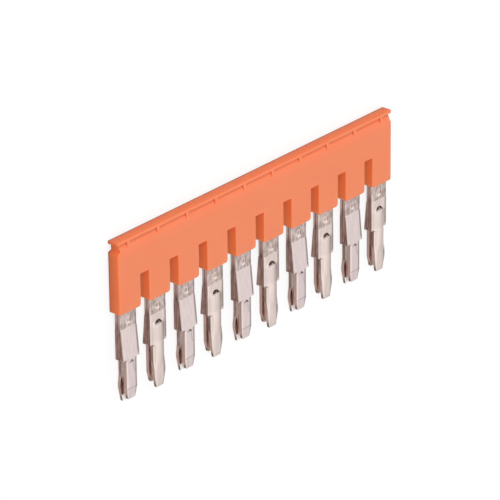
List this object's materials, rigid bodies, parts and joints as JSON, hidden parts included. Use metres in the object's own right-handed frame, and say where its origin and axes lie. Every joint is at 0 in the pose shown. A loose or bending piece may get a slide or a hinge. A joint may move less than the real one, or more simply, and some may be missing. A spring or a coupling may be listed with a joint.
{
  "type": "terminal block jumper bar",
  "caption": "Insulated plug-in jumper bar that links neighbouring terminal blocks: a slim moulded back with fingers, and a row of two-legged spring contacts.",
  "frame": {"origin": "on the surface that the bar lies on, under the middle of its length and of its height", "axes": "+X along the bar, +Y from the contact tips towards the lip, +Z out of the front face, up as it lies"},
  "size_m": [0.0596, 0.025, 0.002],
  "materials": {
    "orange_plastic": "moulded, satin",
    "tinned_copper": "tin plated, dull bright"
  },
  "bodies": {
    "root": {"insulator": "orange_plastic", "front_comb": "tinned_copper", "rear_comb": "tinned_copper"}
  },
  "joints": []
}
